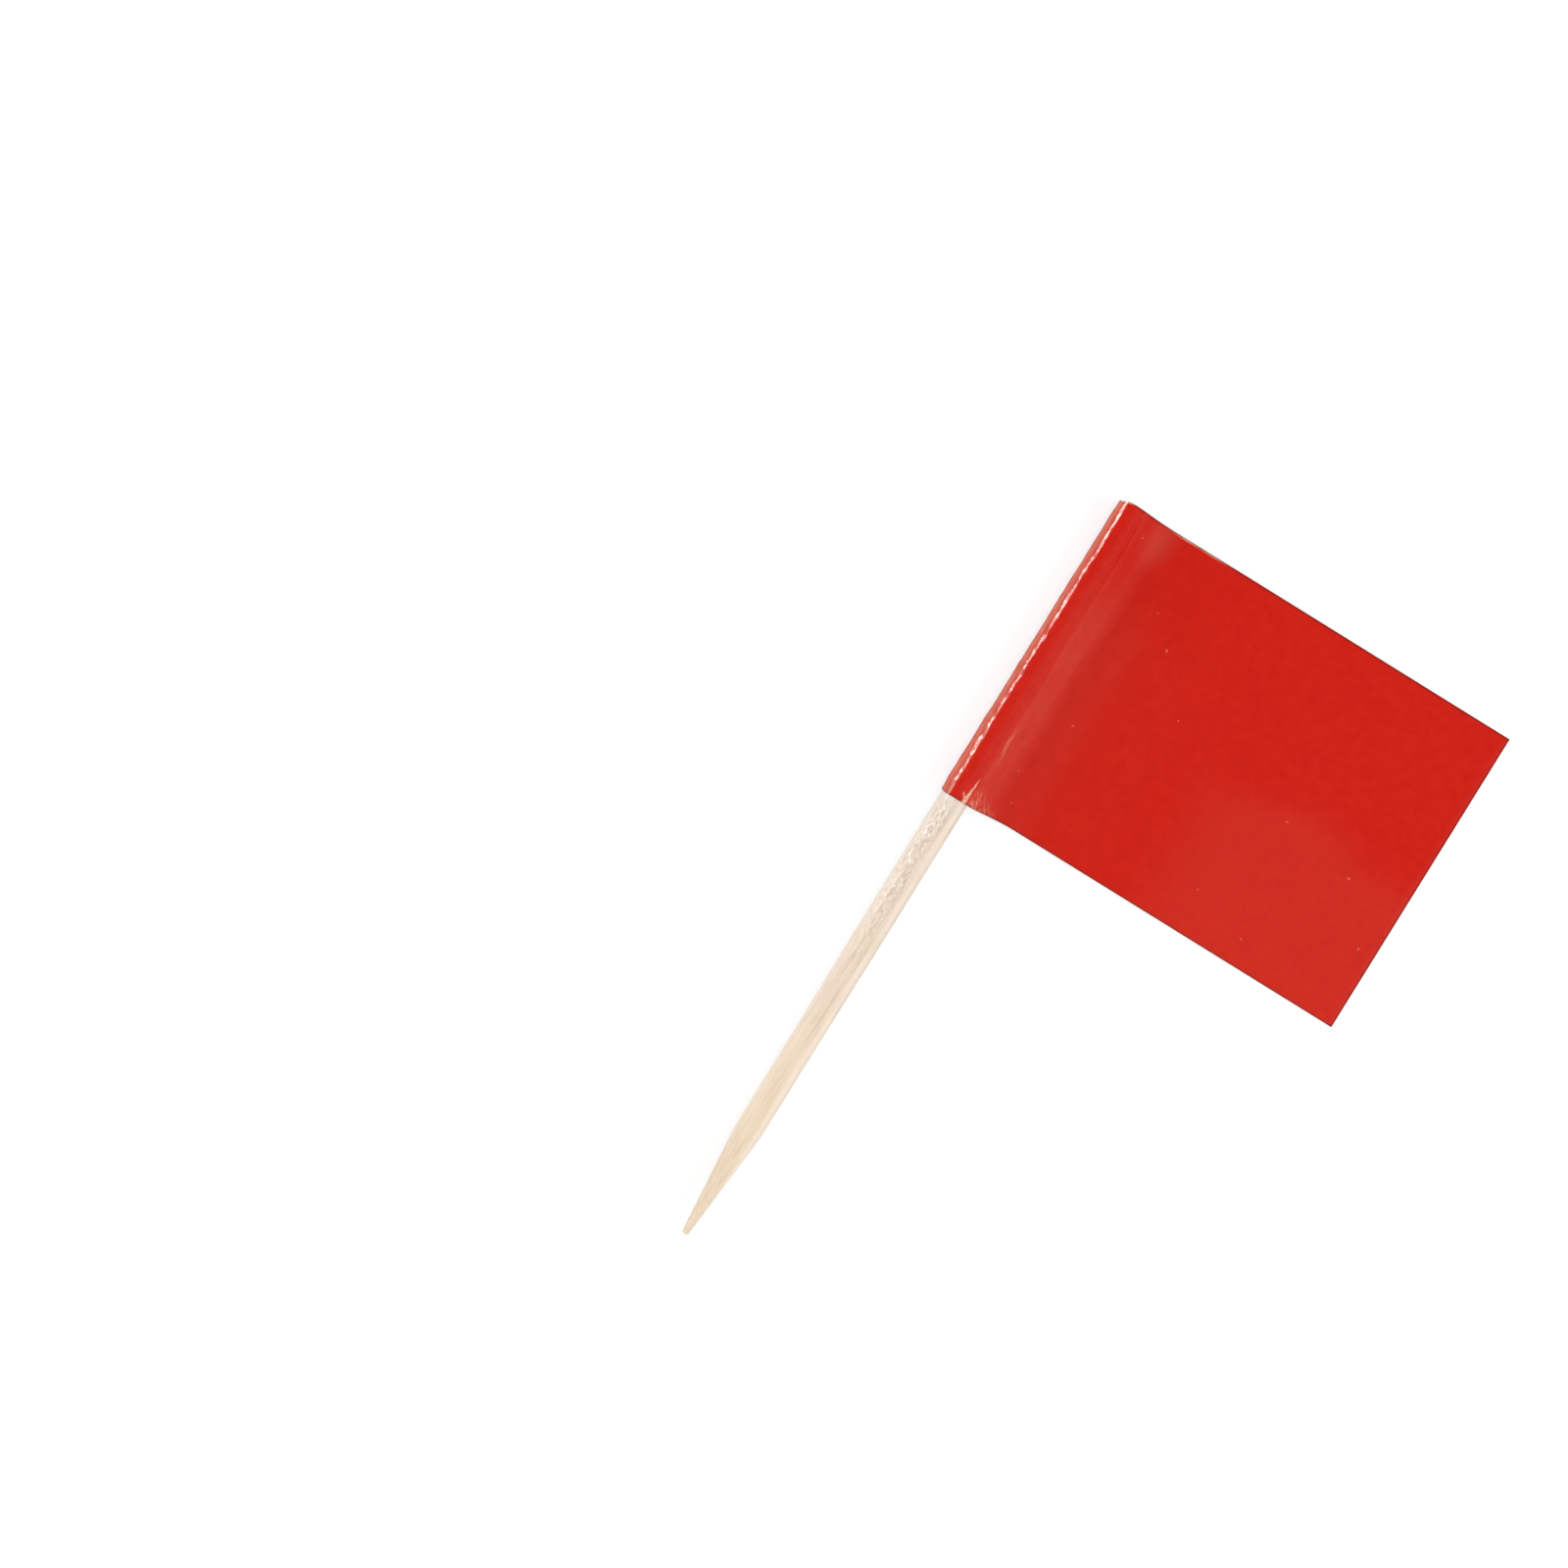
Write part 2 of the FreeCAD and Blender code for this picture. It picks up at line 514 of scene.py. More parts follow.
def slope_billow(tree, given, length, above, down):
    """The free slope swells here and there, because it is held only at its two ends."""
    free = product(
        tree,
        soft_step(tree, down, 0.0, BILLOW_MIDDLE),
        soft_step(tree, down, BILLOW_END, BILLOW_MIDDLE),
    )
    calm = cloud(tree, length, product(tree, above, 0.45), given["Seed"], 2.6 * MM)
    return product(tree, calm, given["Billow height"], free)


# %% The pinched end
WRINKLE_LEAN = (0.85, 0.52)


def pinch_wrinkles(tree, given, above, down):
    """Slanting wrinkles beside the wood at the sleeve's lower end."""
    wide, high = WRINKLE_LEAN
    over = total(tree, product(tree, down, wide), product(tree, above, high))
    beside = reckon(tree, "SUBTRACT", product(tree, above, wide), product(tree, down, high))
    wrinkles = cloud(tree, over, product(tree, beside, 0.12), given["Seed"], 0.3 * MM, 2.0)
    here = product(
        tree,
        soft_step(tree, down, 0.1 * MM, 0.5 * MM),
        soft_step(tree, down, 3.2 * MM, 1.2 * MM),
        soft_step(tree, above, 2.2 * MM, 0.3 * MM),
    )
    return product(tree, wrinkles, given["Crumple height"], here)


def ridge(tree, above, down, place, half_width, half_height, rise):
    """A short ridge along the pick; place is (down the slope, above the lower edge)."""
    over = hump(tree, down, place[0], half_width)
    upwards = hump(tree, above, place[1], half_height)
    return product(tree, over, upwards, rise)


def sleeve_relief(tree, given, length, above, down):
    """All reliefs of the sleeve together, with the two ridges that the pinch left."""
    pinch = given["Pinch height"]
    long_ridge = ridge(tree, above, down, (0.05 * MM, 0.2 * MM), 0.4 * MM, 2.2 * MM, pinch)
    faint = product(tree, pinch, 0.4)
    short_ridge = ridge(tree, above, down, (0.66 * MM, 5.2 * MM), 0.35 * MM, 1.7 * MM, faint)
    return total(
        tree,
        sleeve_waves(tree, given, length, above),
        slope_billow(tree, given, length, above, down),
        pinch_wrinkles(tree, given, above, down),
        long_ridge,
        short_ridge,
    )


# %% [markdown]
# ## Painted light on the film
# These marks paint light into the red: highlights along the pinched end and the bent side,
# glints on the upper edge, and reflections on the slope and the flat leaf. Where the film was
# bent sharply, a little of the white is the film crazing. A painted picture could show that,
# but rules in the label's own coordinates move with the paper when a size changes. Each mark
# is a value from 0 to 1, and one list says how pale each gets. The tree stores their sum on
# the paper as "pale".

# %% Painted highlights along the creases
def pinch_mark(tree, above, down):
    """A line up the sleeve that narrows from the lower edge, with a short tick across it; a painted
    highlight, partly film whitened by the pinch.
    """
    narrowing = product(tree, above, -0.1)
    line = product(
        tree,
        hump(tree, total(tree, down, narrowing), -0.24 * MM, total(tree, narrowing, 0.3 * MM)),
        soft_step(tree, above, 2.4 * MM, 1.2 * MM),
    )
    tick = product(
        tree,
        hump(tree, total(tree, down, above), 0.05 * MM, 0.18 * MM),
        hump(tree, above, 0.45 * MM, 0.4 * MM),
    )
    return reckon(tree, "MAXIMUM", line, tick)


def streak_marks(tree, seed, above, down):
    """Fine slanting threads of painted highlight over the wrinkles, in the corner between wood and
    lower edge.
    """
    over = total(tree, product(tree, down, 0.85), product(tree, above, 0.5))
    threads = cloud(tree, over, product(tree, above, 0.12), seed, 0.12 * MM, 2.0)
    return product(
        tree,
        soft_step(tree, threads, 0.46, 0.64),
        soft_step(tree, total(tree, above, product(tree, down, 0.45)), 2.3 * MM, 0.9 * MM),
        soft_step(tree, down, 0.1 * MM, 0.5 * MM),
    )


def hook_mark(tree, above, down):
    """A short bowed line of painted highlight on the slope, further up."""
    bow = product(tree, hump(tree, above, 5.6 * MM, 1.6 * MM), 0.25 * MM)
    line = hump(tree, total(tree, down, bow), 0.75 * MM, 0.3 * MM)
    return product(tree, line, hump(tree, above, 5.2 * MM, 2.0 * MM))


def crease_highlights_and_crazing(tree, seed, above, down):
    """Painted highlights that the pinch left at the lower end, partly crazed film, and a painted
    highlight low on the bent side.
    """
    bent_line = product(
        tree,
        hump(tree, down, -1.6 * MM, 0.16 * MM),
        soft_step(tree, above, 6 * MM, 2 * MM),
    )
    broken_cloud = cloud(tree, product(tree, down, 2.2), above, seed, 0.3 * MM, 3.0)
    grain = soft_step(tree, broken_cloud, 0.3, 0.6)
    return {
        "pinch": product(tree, pinch_mark(tree, above, down), grain),
        "streaks": streak_marks(tree, seed, above, down),
        "hook": product(tree, hook_mark(tree, above, down), grain),
        "bent line": product(tree, bent_line, grain),
    }


# %% Painted glints on the upper edge
def edge_glints(tree, seed, x, from_axis, above):
    """Painted glints along a stretch of the upper edge and at the sleeve's upper outer corner."""
    from_top = reckon(tree, "SUBTRACT", flag_height, above)
    edge_glint = product(
        tree,
        hump(tree, from_top, 0.1 * MM, 0.09 * MM),
        hump(tree, from_axis, 5.8 * MM, 3.2 * MM),
        soft_step(tree, cloud(tree, x, 0.0, seed, 0.5 * MM), 0.3, 0.5),
    )
    corner_glint = product(
        tree,
        soft_step(tree, from_top, 0.16 * MM, 0.08 * MM),
        hump(tree, from_axis, -0.7 * MM, 0.8 * MM),
    )
    return {"edge glint": edge_glint, "corner glint": corner_glint}


# %% Painted reflections
def painted_reflections(tree, seed, x, from_axis, above):
    """Painted reflections on the slope, in a patch near its top, and faintly over the corner."""
    down_slope = total(
        tree,
        product(tree, soft_step(tree, from_axis, 2.9 * MM, 1.7 * MM), 0.75),
        product(tree, soft_step(tree, from_axis, 6.4 * MM, 5.6 * MM), 0.25),
    )
    uneven_reflection = cloud(tree, x, product(tree, above, 0.4), seed, 1.6 * MM, 2.0)
    slope = product(
        tree,
        soft_step(tree, from_axis, 0.4 * MM, 1.3 * MM),
        down_slope,
        soft_step(tree, above, 22.5 * MM, 15 * MM),
        total(tree, product(tree, uneven_reflection, 1.2), 0.2),
    )
    top_reflection = product(
        tree,
        hump(tree, from_axis, 3.0 * MM, 1.9 * MM),
        hump(tree, above, 24.6 * MM, 3.2 * MM),
    )
    drift = product(tree, cloud(tree, x, above, seed, 5 * MM, 2.0), 7 * MM)
    corner = product(
        tree,
        soft_step(tree, from_axis, 13 * MM, 20 * MM),
        soft_step(tree, total(tree, above, drift), 18 * MM, 14 * MM),
    )
    tail = product(
        tree,
        soft_step(tree, from_axis, 15 * MM, 5 * MM),
        soft_step(tree, above, 22 * MM, 16 * MM),
    )
    return {"slope": slope, "top_reflection": top_reflection, "corner": corner, "tail": tail}


# %% How pale each mark is
PALENESS = {
    "pinch": 0.85,
    "streaks": 0.3,
    "hook": 0.15,
    "bent line": 0.35,
    "edge glint": 0.6,
    "corner glint": 0.5,
    "slope": 0.036,
    "top_reflection": 0.03,
    "corner": 0.012,
    "tail": 0.004,
}
# SIDE_PALENESS is how pale the painted reflection on the sleeve's outer side gets.
SIDE_PALENESS = 0.4


def painted_light_and_crazing(tree, given, x, above, down):
    """All marks on the upper side, and a painted reflection low on the sleeve's outer side."""
    seed = given["Seed"]
    from_axis = reckon(tree, "SUBTRACT", x, axis_x)
    marks = {
        **crease_highlights_and_crazing(tree, seed, above, down),
        **edge_glints(tree, seed, x, from_axis, above),
        **painted_reflections(tree, seed, x, from_axis, above),
    }
    seen = total(tree, *[product(tree, mark, PALENESS[name]) for name, mark in marks.items()])
    on_top = soft_step(tree, down, -2.4 * MM, -2.0 * MM)
    cloud_value = cloud(tree, product(tree, down, 2.5), product(tree, above, 0.4), seed, 0.5 * MM, 3.0)
    # Painted reflection: a cloudy pale band low on the sleeve's outer side.
    side_reflection = product(tree, hump(tree, down, -2.25 * MM, 0.7 * MM), cloud_value, SIDE_PALENESS)
    return total(tree, product(tree, seen, on_top), side_reflection)


print(len(PALENESS) + 1, "kinds of pale mark")

# %% [markdown]
# ## How the whole flag lies
# Two things move the paper as a whole. The bonded leaves arch very slightly off the table,
# both by the same amount, so that they stay together. And because the upper leaf has further
# to go than the lower one, the sleeve's ends aren't square: the lower edge hangs a little
# where it crosses the wood, and the outer corner of the upper edge is drawn in.

# %% Arch and edges
def leaf_lift(tree, given, x, above):
    """How far the two bonded leaves rise off the table together."""
    top = given["Arch top"]
    arch = product(
        tree,
        soft_step(tree, x, given["Arch start"], top),
        soft_step(tree, x, given["Arch end"], top),
    )
    drift = product(tree, cloud(tree, x, above, given["Seed"], 11 * MM), 0.5)
    return product(tree, arch, total(tree, drift, 0.75), given["Arch height"])


def edge_drop(tree, given, length, x, above, down):
    """How far a point near the upper or the lower edge moves down along the pick."""
    start = given["Wrap start"]
    belly = product(
        tree,
        soft_step(tree, length, start, total(tree, start, 2.5 * MM)),
        soft_step(tree, down, 5.0 * MM, 0.2 * MM),
        soft_step(tree, above, 4.0 * MM, 0.0),
        given["Belly"],
    )
    drawn_in = product(
        tree,
        soft_step(tree, x, axis_x - 0.3 * MM, axis_x - 1.3 * MM),
        soft_step(tree, above, flag_height - 1.5 * MM, flag_height),
        given["Corner dip"],
    )
    return total(tree, belly, drawn_in)


# %% [markdown]
# ## Folding it
# The tree takes each point of the flat label, finds the place that lies as far along the
# line of the fold as the point lies along the label, and puts it there, off the line by its
# relief. Paper can't stretch, and this way keeps every length as it was on the flat sheet.

# %% The fold as a tree
def make_fold():
    sizes = [
        "Wrap start", "Slope start", "Lower edge", "Wave height", "Wave length", "Billow height",
        "Crumple height", "Pinch height", "Belly", "Corner dip", "Arch start", "Arch top",
        "Arch end", "Arch height", "Seed",
    ]
    others = [("Section", "NodeSocketObject"), ("Material", "NodeSocketMaterial")]
    tree, given = new_shape_tree("folded_label", sizes, others)
    length, height, _ = split(tree, add(tree, "GeometryNodeInputPosition").outputs[0])
    above = reckon(tree, "SUBTRACT", height, given["Lower edge"])
    down = reckon(tree, "SUBTRACT", length, given["Slope start"])

    line = add(tree, "GeometryNodeObjectInfo", {"Object": given["Section"]}).outputs["Geometry"]
    follow = add(tree, "GeometryNodeSampleCurve", {"Curves": line, "Length": length}, mode="LENGTH")
    run_x, _, run_z = split(tree, follow.outputs["Tangent"])
    outwards = combine(tree, product(tree, run_z, -1.0), 0.0, run_x)
    x, _, z = split(tree, follow.outputs["Position"])

    relief = scaled(tree, outwards, sleeve_relief(tree, given, length, above, down))
    moved_y = reckon(tree, "SUBTRACT", height, edge_drop(tree, given, length, x, above, down))
    lifted_z = total(tree, z, leaf_lift(tree, given, x, above))
    smooth = combine(tree, x, moved_y, lifted_z)
    placed = add(tree, "ShaderNodeVectorMath", {0: smooth, 1: relief}, operation="ADD").outputs[0]
    marked = store(tree, given["Geometry"], "pale", painted_light_and_crazing(tree, given, x, above, down))
    moved = add(tree, "GeometryNodeSetPosition", {"Geometry": marked, "Position": placed})
    add(tree, "NodeGroupOutput", {0: paint(tree, moved.outputs[0], given["Material"])})
    return tree


# %% Fold the label
BENT_BEFORE_SLOPE = 2.0 * MM

red_film = make_red_film(label_length, flag_height, slope_start - BENT_BEFORE_SLOPE)
use_tree(flag, make_fold(), {
    "Section": section_piece,
    "Wrap start": wrap_start + 0.5 * MM,
    "Slope start": slope_start,
    "Lower edge": flag_low.y,
    "Wave height": 0.12 * MM,
    "Wave length": 0.8 * MM,
    "Billow height": 0.28 * MM,
    "Crumple height": 0.1 * MM,
    "Pinch height": 0.07 * MM,
    "Belly": 0.3 * MM,
    "Corner dip": 0.25 * MM,
    "Arch start": axis_x,
    "Arch top": axis_x + 9 * MM,
    "Arch end": flag_high.x,
    "Arch height": 0.22 * MM,
    "Seed": 3.0,
    "Material": red_film,
})
settle(flag)
bpy.data.objects.remove(section_piece)

# %% [markdown]
# ## Thickness and cut edges
# So far the label is a sheet without thickness. Solidify gives it the paper's thickness, a
# hair less than in the solid so that the two leaves don't share a face. The side with the
# glue and the cut edge are bare paper. A tiny Bevel softens the cut, which lets the edges
# catch some light.

# %% Thicken the label
LEAF_GAP = 0.006 * MM
EDGE_ROUND = 0.02 * MM

flag.data.materials.append(glue_side)
flag.data.materials.append(cut_edge)
walls = flag.modifiers.new("thickness", "SOLIDIFY")
walls.thickness = paper - LEAF_GAP
walls.offset = 0
walls.use_even_offset = True
walls.material_offset = 1
walls.material_offset_rim = 2
soft = flag.modifiers.new("soft_cut", "BEVEL")
soft.width = EDGE_ROUND
soft.segments = 1
soft.limit_method = "ANGLE"
soft.angle_limit = math.radians(60)
settle(flag)

# %% [markdown]
# ## Specks under the film
# A few grains of dust lie under the film and lift it into tiny pimples. Each is a low dome
# of a few dozen faces. A tree drops one at every marked place straight down onto the paper,
# and gives each its own size and turn from one seed.

# %% Specks as a tree
LEAST_SPECK = 0.6
LARGEST_SPECK = 1.1
SPECK_OVAL = 0.7


def make_specks():
    others = [
        ("Places", "NodeSocketObject"),
        ("Seed", "NodeSocketInt"),
        ("Material", "NodeSocketMaterial"),
    ]
    tree, given = new_shape_tree("specks", ["Radius", "Flatness", "Paleness"], others)
    flag_mesh = given["Geometry"]
    places = add(tree, "GeometryNodeObjectInfo", {"Object": given["Places"]}).outputs["Geometry"]
    onto = add(tree, "GeometryNodeRaycast", {"Target Geometry": flag_mesh, "Ray Length": 10 * MM})
    hit = onto.outputs["Hit Position"]
    dropped = add(tree, "GeometryNodeSetPosition", {"Geometry": places, "Position": hit}).outputs[0]

    ball = {"Radius": given["Radius"], "Subdivisions": 2}
    dome = add(tree, "GeometryNodeMeshIcoSphere", ball).outputs["Mesh"]
    flat = store(tree, dome, "label", (0.5, 0.5, 0), data_type="FLOAT2", domain="CORNER")
    # Paleness lightens each pimple: partly the dust under the film, partly a painted highlight.
    marked = store(tree, flat, "pale", given["Paleness"])

    def chance(least, most):
        """A value between two bounds, another one for each speck."""
        given_bounds = {2: least, 3: most, "Seed": given["Seed"]}
        return add(tree, "FunctionNodeRandomValue", given_bounds, data_type="FLOAT").outputs[1]

    size = chance(LEAST_SPECK, LARGEST_SPECK)
    height = product(tree, size, given["Flatness"])
    put = add(tree, "GeometryNodeInstanceOnPoints", {
        "Points": dropped,
        "Instance": marked,
        "Rotation": combine(tree, 0.0, 0.0, chance(0.0, math.tau)),
        "Scale": combine(tree, size, product(tree, size, SPECK_OVAL), height),
    })
    joined = add(tree, "GeometryNodeJoinGeometry", {0: flag_mesh})
    tree.links.new(paint(tree, put.outputs[0], given["Material"]), joined.inputs[0])
    add(tree, "NodeGroupOutput", {0: joined.outputs[0]})
    return tree


# %% Drop the specks
# out from the pick's axis and up from the flag's lower edge, in millimetres
SPECK_PLACES = [
    (1.7, 24.2), (5.8, 20.0), (7.9, 17.9), (11.5, 13.8), (4.8, 9.2), (3.1, 4.1),
    (3.9, 1.7), (22.7, 11.6), (29.0, 10.4), (32.5, 6.2), (24.4, 2.1), (19.6, 3.6),
]
DROP_FROM = 5 * MM

dots = bpy.data.meshes.new("speck_places")
spots = [(axis_x + out * MM, flag_low.y + up * MM, DROP_FROM) for out, up in SPECK_PLACES]
dots.from_pydata(spots, [], [])
dots_piece = new_piece("speck_places", dots)
use_tree(flag, make_specks(), {
    "Places": dots_piece,
    "Radius": 0.14 * MM,
    "Flatness": 0.25,
    "Paleness": 0.11,
    "Seed": 4,
    "Material": red_film,
})
settle(flag)
flag.data.shade_smooth()
bpy.data.objects.remove(dots_piece)
print(len(SPECK_PLACES), "specks")

# %% [markdown]
# ## The pick
# Picks are turned from straight-grained birch, so the stick is a profile spun round its axis.
# The profile is read off the solid, one radius for each of its rims. A Screw modifier could
# spin it, but here the rings need to be as close together as the grain that will be pressed
# into them, so the points are laid out directly. A few small rings close each end.

# %% The pick's profile
AROUND = 132
ALONG = 0.11 * MM
LEAST_GAP = 0.008 * MM
END_SHARES = np.array([0.15, 0.4, 0.65, 0.85])

solid = np.array([v.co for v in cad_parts["pick"].data.vertices])
from_pick_axis = np.hypot(solid[:, 0] - axis_x, solid[:, 2] - axis_z)
rims = np.unique(np.round(solid[:, 1], 9))
profile = [from_pick_axis[np.isclose(solid[:, 1], y, rtol=0, atol=1e-7)].max() for y in rims]
ys = np.unique(np.concatenate([rims, spread(pick_low.y, pick_high.y, ALONG)]))
ys = ys[np.concatenate([[True], np.diff(ys) > LEAST_GAP])]
radius = np.interp(ys, rims, profile)
inner_rings = len(END_SHARES)
ys = np.concatenate([np.full(inner_rings, ys[0]), ys, np.full(inner_rings, ys[-1])])
radius = np.concatenate([radius[0] * END_SHARES, radius, radius[-1] * END_SHARES[::-1]])
print(len(ys), "rings, the widest", round(radius.max() / MM, 2), "mm in radius")

# %% Turn the pick
turn = np.linspace(0, 2 * math.pi, AROUND, endpoint=False)
ring_x = axis_x + radius[:, None] * np.cos(turn)
ring_z = axis_z + radius[:, None] * np.sin(turn)
rings = np.stack([ring_x, np.repeat(ys[:, None], AROUND, 1), ring_z], -1).reshape(-1, 3)
tip_point, sawn_point = [axis_x, ys[0], axis_z], [axis_x, ys[-1], axis_z]

here = np.arange(AROUND)
ahead = (here + 1) % AROUND
last_ring = len(rings) - AROUND
tip_fan = np.stack([np.full(AROUND, len(rings)), ahead, here], -1)
sawn_fan = np.stack([np.full(AROUND, len(rings) + 1), last_ring + here, last_ring + ahead], -1)
faces = squares(len(ys), AROUND, closed=True) + tip_fan.tolist() + sawn_fan.tolist()
stick = bpy.data.meshes.new("pick")
stick.from_pydata([*rings.tolist(), tip_point, sawn_point], [], faces)
pick = new_piece("turned_pick", stick)
print("the pick has", len(faces), "faces")

# %% [markdown]
# ## The finish of the wood
# The pick is bare birch without varnish: nearly white, a little pink by the flag and more
# yellow towards the point. A light sheen stands for its fibres. The shared group, stretched
# along the wood, gives the streaks. The flecks that the next tree presses in are partly grain
# and partly painted light: a pale painted sparkle, with painted shade between them. A painted
# light strip runs down each side, where the round flanks catch more light. Painted shade greys
# the wood right at the flag, below the sleeve, and a faint smudge crosses it further down. The
# two ends show the vessels cut across, so they are a finish of their own.

# %% Material of the birch
STREAK_STRETCH = 20
PALE_SIDES = 0.75 * MM
SLEEVE_SHADE_LENGTH = 2.2 * MM
SMUDGE_PLACE = -6.4 * MM
SMUDGE_REACH = 1.1 * MM


def make_birch():
    material, tree, shader = new_material("birch", {
        "Roughness": 0.5,
        "Specular IOR Level": 0.3,
        "Sheen Weight": 0.3,
        "Sheen Roughness": 0.4,
        "Sheen Tint": (1.0, 0.95, 0.88, 1),
    })
    x, y, _ = split(tree, add(tree, "ShaderNodeTexCoord").outputs["Object"])
    warm = soft_step(tree, y, 4 * MM, -24 * MM)
    stretch = (1, STREAK_STRETCH, 1)
    streaks = uneven(tree, size=0.2 * MM, stretch=stretch, detail=3.0, low=0.35, high=0.6)
    bright = between(tree, warm, (0.745, 0.635, 0.57, 1), (0.775, 0.65, 0.525, 1))
    dark = between(tree, warm, (0.62, 0.515, 0.455, 1), (0.71, 0.58, 0.455, 1))
    wood = between(tree, streaks, dark, bright)
    fleck = add(tree, "ShaderNodeAttribute", attribute_name="fleck").outputs["Fac"]
    # Partly grain and partly painted light: pale flecks as painted sparkle, dark ones as painted
    # shade.
    shadowed = between(tree, soft_step(tree, fleck, 0.45, -0.1), wood, (0.53, 0.43, 0.37, 1))
    sparkling = between(tree, soft_step(tree, fleck, 0.55, 1.05), shadowed, (0.92, 0.86, 0.8, 1))
    # Painted light: a paler strip down each flank, where the round sides catch more light.
    right_side_light = hump(tree, x, axis_x + PALE_SIDES, 0.5 * MM)
    left_side_light = soft_step(tree, x, axis_x - PALE_SIDES, axis_x - 1.0 * MM)
    sides = product(tree, reckon(tree, "MAXIMUM", right_side_light, left_side_light), 0.6)
    lighter = between(tree, sides, sparkling, (0.93, 0.83, 0.75, 1))
    # Painted shade: the wood greys just below the flag's lower edge, under the sleeve.
    sleeve_shade = product(tree, soft_step(tree, y, flag_low.y - SLEEVE_SHADE_LENGTH, flag_low.y), 0.5)
    sleeve_shaded = between(tree, sleeve_shade, lighter, (0.76, 0.7, 0.68, 1))
    smudge = product(tree, hump(tree, y, SMUDGE_PLACE, SMUDGE_REACH), 0.35)
    finished = between(tree, smudge, sleeve_shaded, (0.71, 0.62, 0.45, 1))
    tree.links.new(finished, shader.inputs["Base Color"])
    return material


def make_end_grain():
    """The sawn end and the blunt tip, where the vessels are cut across."""
    material, tree, shader = new_material("end_grain", {"Roughness": 0.8, "Specular IOR Level": 0.2})
    pores = uneven(tree, size=0.09 * MM, detail=2.0, low=0.35, high=0.6)
    pored = between(tree, pores, (0.4, 0.29, 0.2, 1), (0.66, 0.53, 0.4, 1))
    tree.links.new(pored, shader.inputs["Base Color"])
    return material


# %% [markdown]
# ## The grain
# In the raking light of a lamp, birch shows broken columns of tiny flecks, which are its cut
# vessels, over fine long grooves. Two clouds drawn out along the wood make them, and the tree
# presses both in by a few hundredths of a millimetre. The flecks are plainest on the side
# away from the flag and near it, and fade towards the point. They are also stored on the
# wood, for the finish to read.

# %% The grain as a tree
GROOVE_STRETCH = 22
FLECK_STRETCH = 4
END_FACING = 0.9


def make_grain():
    sizes = [
        "Groove depth", "Groove width", "Fleck depth", "Fleck width", "Flecks from", "Flecks to",
        "Seed",
    ]
    others = [("Material", "NodeSocketMaterial"), ("End material", "NodeSocketMaterial")]
    tree, given = new_shape_tree("grained_wood", sizes, others)
    x, y, z = split(tree, add(tree, "GeometryNodeInputPosition").outputs[0])

    def drawn_out(width, stretch):
        """A cloudy value that is drawn out along the wood."""
        shift = product(tree, given["Seed"], 0.1)
        spot = combine(tree, x, total(tree, reckon(tree, "DIVIDE", y, stretch), shift), z)
        return noise(tree, spot, width, 2.0)

    away_side = total(tree, product(tree, soft_step(tree, x, axis_x + 0.6 * MM, axis_x), 0.6), 0.4)
    fading = soft_step(tree, y, given["Flecks to"], given["Flecks from"])
    plain = product(tree, away_side, total(tree, product(tree, fading, 0.8), 0.2))
    sharp = soft_step(tree, drawn_out(given["Fleck width"], FLECK_STRETCH), 0.32, 0.68)
    fleck = total(tree, product(tree, reckon(tree, "SUBTRACT", sharp, 0.5), plain), 0.5)
    grooves = product(tree, drawn_out(given["Groove width"], GROOVE_STRETCH), given["Groove depth"])
    depth = total(tree, grooves, product(tree, fleck, given["Fleck depth"]))

    normal = add(tree, "GeometryNodeInputNormal").outputs[0]
    inwards = scaled(tree, normal, product(tree, depth, -1.0))
    marked = store(tree, given["Geometry"], "fleck", fleck)
    moved = add(tree, "GeometryNodeSetPosition", {"Geometry": marked, "Offset": inwards})
    facing = reckon(tree, "ABSOLUTE", split(tree, normal)[1])
    ended = add(tree, "GeometryNodeSetMaterial", {
        "Geometry": paint(tree, moved.outputs[0], given["Material"]),
        "Selection": reckon(tree, "GREATER_THAN", facing, END_FACING),
        "Material": given["End material"],
    })
    add(tree, "NodeGroupOutput", {0: ended.outputs[0]})
    return tree


# %% Press the grain in
use_tree(pick, make_grain(), {
    "Groove depth": 0.02 * MM,
    "Groove width": 0.14 * MM,
    "Fleck depth": 0.02 * MM,
    "Fleck width": 0.1 * MM,
    "Flecks from": 3 * MM,
    "Flecks to": -16 * MM,
    "Seed": 5.0,
    "Material": make_birch(),
    "End material": make_end_grain(),
})
settle(pick)
pick.data.shade_smooth()

# %% [markdown]
# ## Hand the pieces to the frame
# Nothing on this object moves, so both pieces ride on the root. The solid that each stands
# for is hidden, and each prints that solid and the finish it wears.

# %% Ride, hide the solids and print the finishes
for piece, node, finish in [(pick, "pick", "birch_wood"), (flag, "flag", "red_label_paper")]:
    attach(piece, "root")
    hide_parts(node)
    print(piece.name, "stands for", node, "in", finish)

# %% [markdown]
# ## The table
# The ground is a plain pale sheet. Lamps alone would leave it grey or burn the wood out, so
# to the camera it also glows a little by itself, which brings it to white while the soft
# shadow of the object stays. Its own colour is a little blue there, against the warm lamps.
# Far away, where no lamp reaches, the glow takes over. For all other rays it is plain matte.

# %% Ground
GROUND_SIZE = 4.0
NEAR_GLOW = 0.65
GLOW_ALONE_FROM = 0.1
GLOW_ALONE_AT = 0.4


